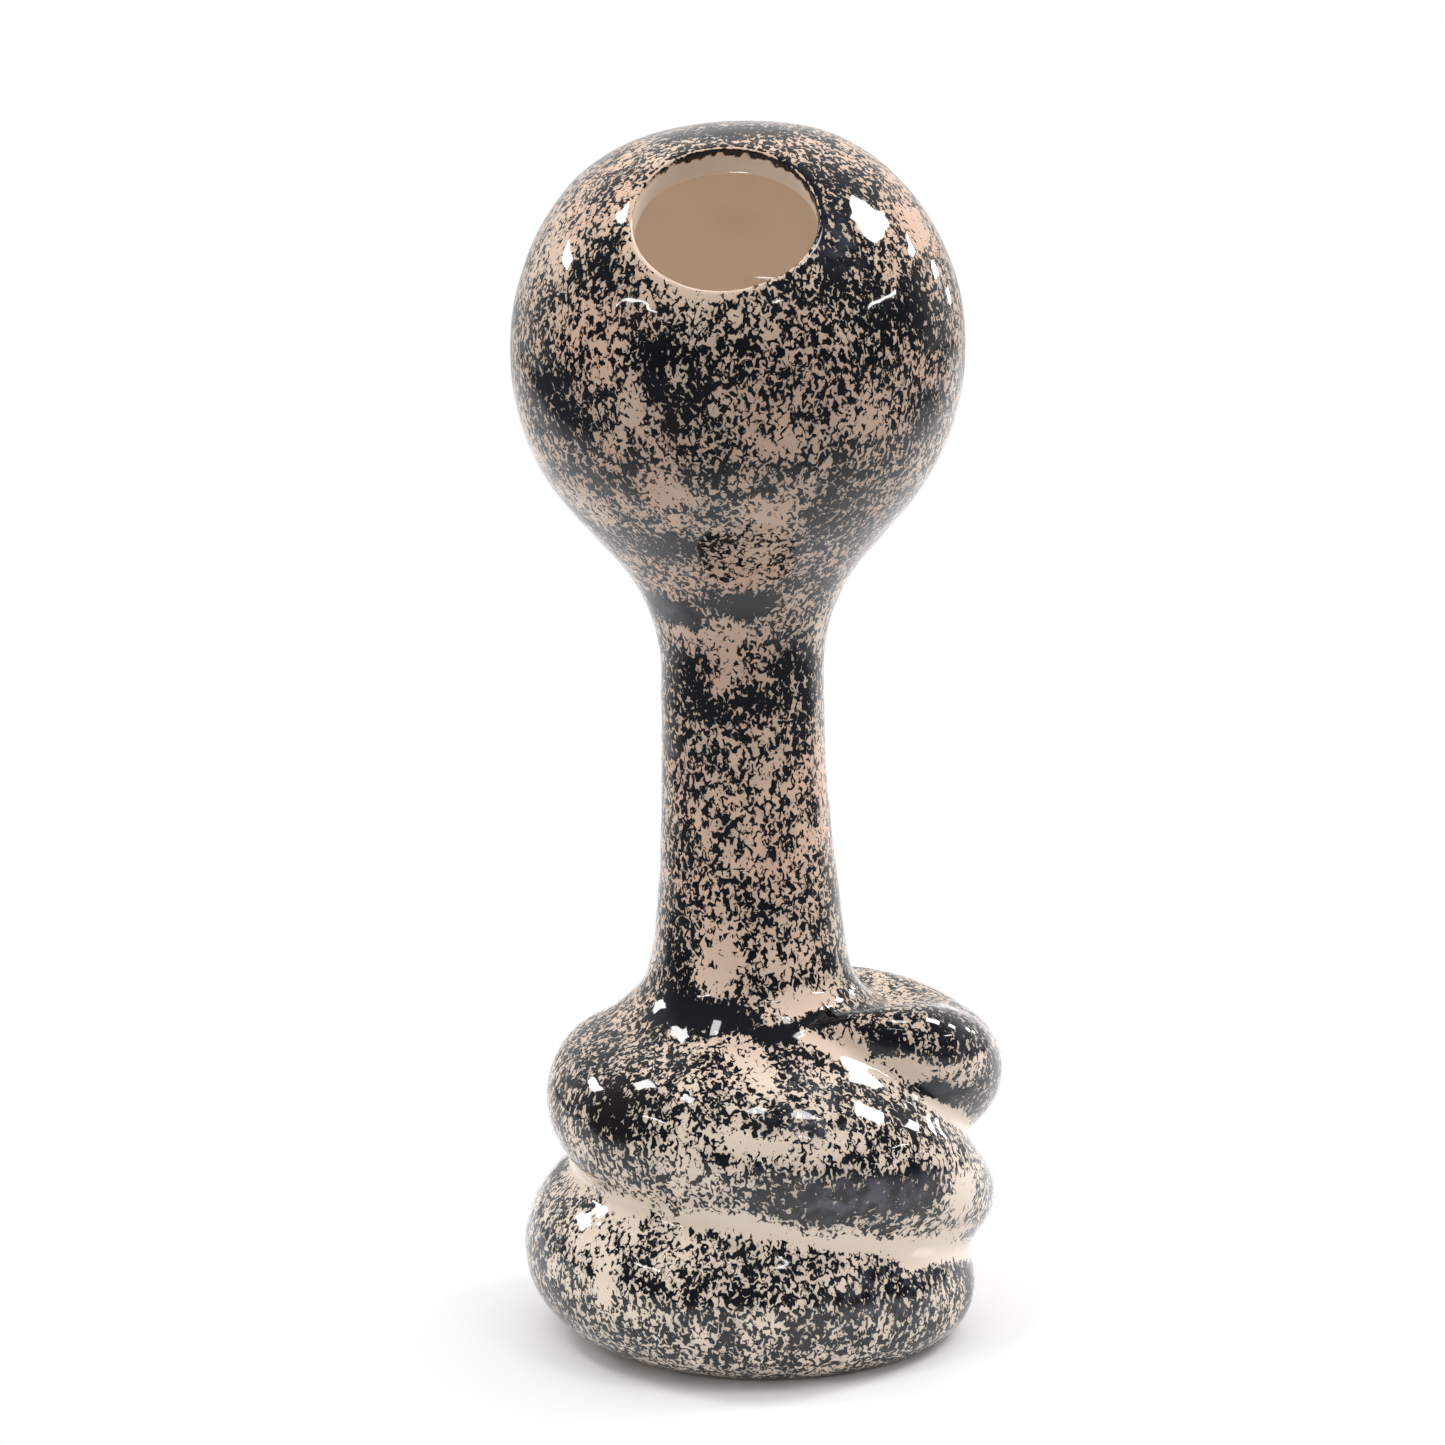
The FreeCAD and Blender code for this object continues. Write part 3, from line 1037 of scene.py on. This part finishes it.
def slip_colour(tree, place):
    """Black slip, here and there a little brown, and grey where it is thin."""
    brown = contrast(tree, noise_node(tree, place, 70, 1.0, 0.5), 6.0, 0.70)
    deep = colour_mix(tree, brown, (0.0055, 0.006, 0.0095), (0.016, 0.009, 0.008))
    patchy = contrast(tree, noise_node(tree, place, 300, 2.0, 0.6), 5.0, 0.52)
    grey = math_node(tree, "MULTIPLY", attribute_node(tree, "thin"), patchy)
    return colour_mix(tree, grey, deep, (0.085, 0.087, 0.11))


def sponged_glaze():
    """Pink-cream clay sponged with torn black slip under a clear, wet-looking glaze."""
    material, tree, shader, place = new_material("sponged_glaze")
    slip = attribute_node(tree, "slip")
    cover, black = slip_masks(tree, place, slip)
    colour = colour_mix(tree, black, clay_colour(tree, place, slip, cover), slip_colour(tree, place))
    link(tree, colour, shader.inputs["Base Color"])
    shader.inputs["Roughness"].default_value = 0.6
    shader.inputs["Specular IOR Level"].default_value = 0.0
    shader.inputs["Coat Weight"].default_value = 1.0
    shader.inputs["Coat Roughness"].default_value = 0.05
    shader.inputs["Coat IOR"].default_value = 1.52
    ripple = noise_node(tree, place, 190, 1.0, 0.5)
    bump_node(tree, ripple, 0.35, 0.0005, shader.inputs["Coat Normal"])
    return material


def foot_clay():
    """Bare fired clay of the underside, matt and a little gritty."""
    material, tree, shader, place = new_material("foot_clay")
    cloud = contrast(tree, noise_node(tree, place, 60, 3.0, 0.6), 3.0)
    fired = colour_mix(tree, cloud, (0.62, 0.49, 0.37), (0.53, 0.40, 0.30))
    grit = noise_node(tree, place, 1500, 2.0, 0.6)
    colour = colour_mix(tree, contrast(tree, grit, 12.0, 0.66), fired, (0.30, 0.22, 0.17))
    link(tree, colour, shader.inputs["Base Color"])
    shader.inputs["Roughness"].default_value = 0.85
    bump_node(tree, grit, 0.4, 0.0002, shader.inputs["Normal"])
    return material


def bare_foot(slab):
    """Leave the underside of the slab bare."""
    slab.data.materials.append(foot_clay())
    for face in slab.data.polygons:
        if face.normal.z < -0.9:
            face.material_index = 1


def build_vase():
    """The eight pieces, from the foot up."""
    pieces = [
        foot_slab(),
        wound("tail_coil", lower_joint, rope_end, on_slab, above),
        wound("lower_coil", upper_joint, lower_joint, lower_ends, above),
        wound("upper_coil", rope_start, upper_joint, crease_ends, neck_ends),
        turned("neck", neck_joint, bowl_joint, neck_rows),
        turned("head_bowl", bowl_joint, equator, bowl_rows),
        head_dome(),
        mouth_lip(),
    ]
    glaze = sponged_glaze()
    for piece in pieces:
        piece.data.materials.append(glaze)
    slab = pieces[0]
    bare_foot(slab)


# ---- studio, in metres ----
camera_place = (0, -0.700, 0.2615)
camera_aim = (-0.0039, 0, 0.1125)
camera_roll = -1.16
lamp_distance = 1.3
room_light = 0.17
sky_light = 0.78
floor_half = 1.2

# Direction in degrees (azimuth, elevation), width and height in metres, and brightness.
lamps = {
    "key_right": (17, 41, 0.36, 0.27, 20),
    "right_low": (26, 22, 0.20, 0.14, 20),
    "right_far": (42, 9, 0.14, 0.09, 18),
    "right_edge": (46, 3, 0.07, 0.06, 18),
    "left_low": (158, 24, 0.24, 0.18, 18),
    "left_high": (171, 51, 0.22, 0.24, 18),
    "front_right": (-44, 57, 0.22, 0.18, 14),
    "front_left": (-131, 60, 0.22, 0.18, 14),
    "strip_left": (-144, 19, 0.42, 0.03, 22),
    "strip_right": (-6, 15, 0.35, 0.03, 22),
    "strip_front": (-66, 28, 0.20, 0.02, 20),
}


def place_in_scene(name, data):
    thing = bpy.data.objects.new(name, data)
    bpy.context.scene.collection.objects.link(thing)
    return thing


def lamp(name, azimuth, elevation, wide, tall, radiance):
    """A rectangular lamp facing the head from a direction given in degrees."""
    data = bpy.data.lights.new(name, "AREA")
    data.shape = "RECTANGLE"
    data.size = wide
    data.size_y = tall
    data.energy = radiance * math.pi * wide * tall
    light = place_in_scene(name, data)
    a = math.radians(azimuth)
    e = math.radians(elevation)
    toward = Vector((math.cos(a) * math.cos(e), math.sin(a) * math.cos(e), math.sin(e)))
    light.location = Vector((0, 0, equator * MM)) + toward * lamp_distance
    light.rotation_euler = (-toward).to_track_quat("-Z", "Y").to_euler()


def inner_bounce():
    """Light that the pale inside of the head passes on after it comes in through the mouth."""
    data = bpy.data.lights.new("inner_bounce", "POINT")
    data.energy = 0.0042
    data.shadow_soft_size = 0.003
    bounce = place_in_scene("inner_bounce", data)
    bounce.location = (-0.007, -0.004, (equator - 12) * MM)
    bounce.visible_camera = False


def floor_material():
    """White sweep under and behind the vase, with painted shade darkening it in front, where the room is
    unlit, for the glaze to mirror; it fades to the white background.
    """
    material, tree, shader, place = new_material("floor")
    shader.inputs["Roughness"].default_value = 0.9
    far = tree.nodes.new("ShaderNodeVectorMath")
    far.operation = "LENGTH"
    link(tree, place, far.inputs[0])
    far = far.outputs["Value"]
    # Painted shade: the floor grows dark in front of the vase and stands in for the unlit room there, so
    # that the glaze reflects it dark.
    painted_front_shade = math_node(tree, "SUBTRACT", far, parts_of(tree, place)["Y"])
    painted_front_shade = math_node(tree, "MULTIPLY_ADD", painted_front_shade, 3.2, -0.4, clamp=True)
    colour = colour_mix(tree, painted_front_shade, (0.92, 0.92, 0.93), (0.12, 0.12, 0.13))
    link(tree, colour, shader.inputs["Base Color"])
    glow = tree.nodes.new("ShaderNodeEmission")
    glow.inputs["Color"].default_value = (1, 1, 1, 1)
    glow.inputs["Strength"].default_value = 1.0
    seen = tree.nodes.new("ShaderNodeLightPath").outputs["Is Camera Ray"]
    fade = math_node(tree, "MULTIPLY_ADD", far, 1 / 0.035, -1.1, clamp=True)
    mix = tree.nodes.new("ShaderNodeMixShader")
    link(tree, math_node(tree, "MULTIPLY", fade, seen), mix.inputs[0])
    link(tree, shader.outputs[0], mix.inputs[1])
    link(tree, glow.outputs[0], mix.inputs[2])
    link(tree, mix.outputs[0], tree.nodes["Material Output"].inputs["Surface"])
    return material


def floor():
    mesh = bpy.data.meshes.new("floor")
    h = floor_half
    mesh.from_pydata([(-h, -h, 0), (h, -h, 0), (h, h, 0), (-h, h, 0)], [], [(0, 1, 2, 3)])
    mesh.materials.append(floor_material())
    place_in_scene("floor", mesh)


def world():
    """A white sweep stands behind the vase; the room in front of it is darker."""
    studio_world = bpy.data.worlds.new("studio")
    bpy.context.scene.world = studio_world
    studio_world.use_nodes = True
    tree = studio_world.node_tree
    background = tree.nodes["Background"]
    path = tree.nodes.new("ShaderNodeLightPath")
    direction = parts_of(tree, tree.nodes.new("ShaderNodeTexCoord").outputs["Generated"])
    behind = math_node(tree, "MULTIPLY_ADD", direction["Y"], 1.6, -0.1, clamp=True)
    overhead = math_node(tree, "MULTIPLY", direction["Z"], 1.3, clamp=True)
    mirrored = math_node(tree, "MULTIPLY_ADD", behind, 0.60, 0.09)
    mirrored = math_node(tree, "MULTIPLY_ADD", overhead, 0.12, mirrored)
    spread = math_node(tree, "MULTIPLY_ADD", overhead, sky_light, room_light)
    glossy = path.outputs["Is Glossy Ray"]
    lit = math_node(tree, "MULTIPLY_ADD", math_node(tree, "SUBTRACT", mirrored, spread), glossy, spread)
    strength = math_node(tree, "MAXIMUM", lit, path.outputs["Is Camera Ray"])
    background.inputs["Color"].default_value = (1, 1, 1, 1)
    link(tree, strength, background.inputs["Strength"])


def camera():
    data = bpy.data.cameras.new("camera")
    data.lens = 100
    data.sensor_width = 36
    data.clip_start = 0.05
    eye = place_in_scene("camera", data)
    eye.location = camera_place
    look = Vector(camera_aim) - eye.location
    roll = Matrix.Rotation(math.radians(camera_roll), 3, "Z")
    eye.rotation_euler = (look.to_track_quat("-Z", "Y").to_matrix() @ roll).to_euler()
    bpy.context.scene.camera = eye


def studio():
    """Floor, world, lamps and camera."""
    floor()
    world()
    for name, size_and_place in lamps.items():
        lamp(name, *size_and_place)
    inner_bounce()
    camera()
    bpy.context.scene.view_settings.view_transform = "Standard"


build_vase()
studio()
